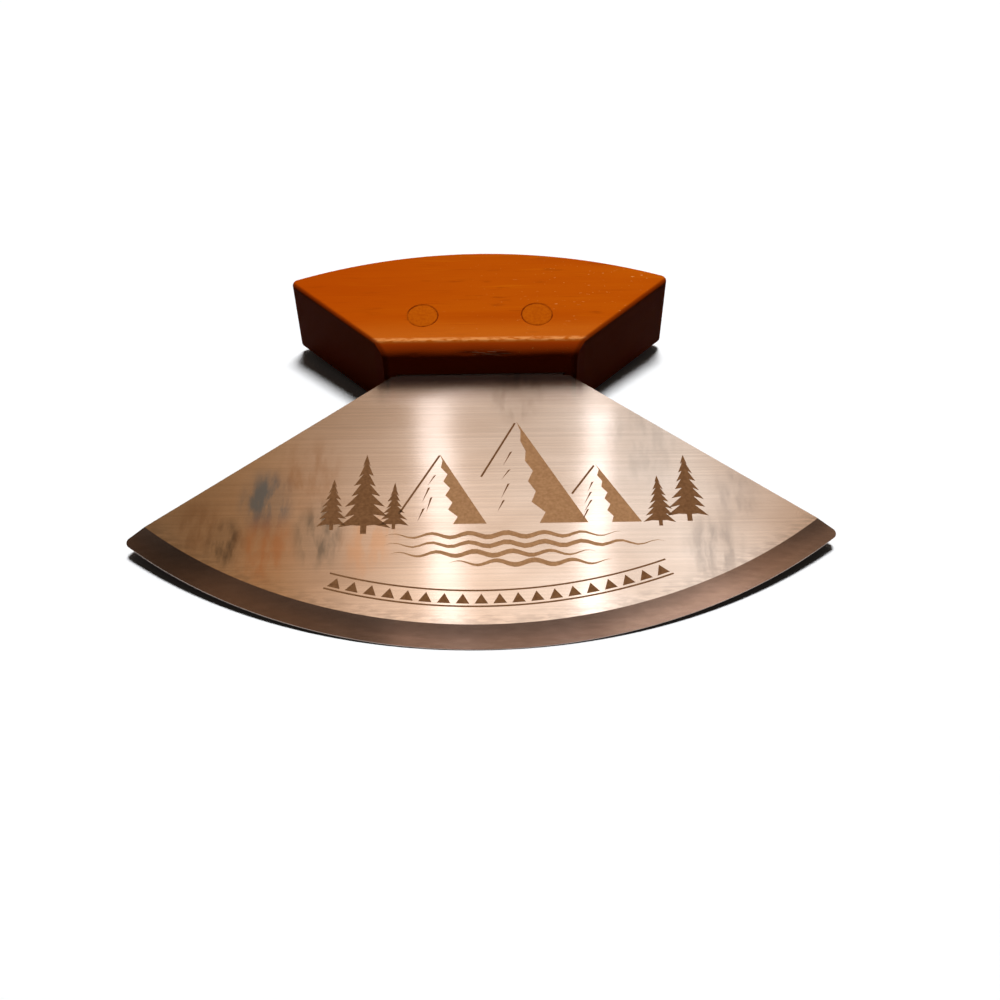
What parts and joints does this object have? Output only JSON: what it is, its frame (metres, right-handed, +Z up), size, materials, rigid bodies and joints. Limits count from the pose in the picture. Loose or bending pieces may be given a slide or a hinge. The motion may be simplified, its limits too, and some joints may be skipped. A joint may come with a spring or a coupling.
{
  "type": "ulu knife",
  "caption": "Ulu knife with a fan-shaped steel blade ground along its curved edge, its tang slotted and dowelled into a hardwood handle with a rounded underside and a round back.",
  "frame": {"origin": "middle of the knife's footprint, on the table it lies on", "axes": "+X from tip to tip, to the right as seen from the cutting edge; +Y from the cutting edge to the handle; +Z up from the table. The knife lies on its side, so the blade's plane is tilted 7.7 degrees about X."},
  "size_m": [0.1318, 0.0922, 0.0213],
  "materials": {
    "blade": "stainless sheet, finely brushed along its length, satin ground bevel",
    "handle": "oiled reddish hardwood, sanded, long grain from end to end",
    "dowels": "oiled end grain, sanded flush"
  },
  "bodies": {
    "root": {"blade": "blade", "handle": "handle", "dowel_left": "dowels", "dowel_right": "dowels"}
  },
  "joints": []
}
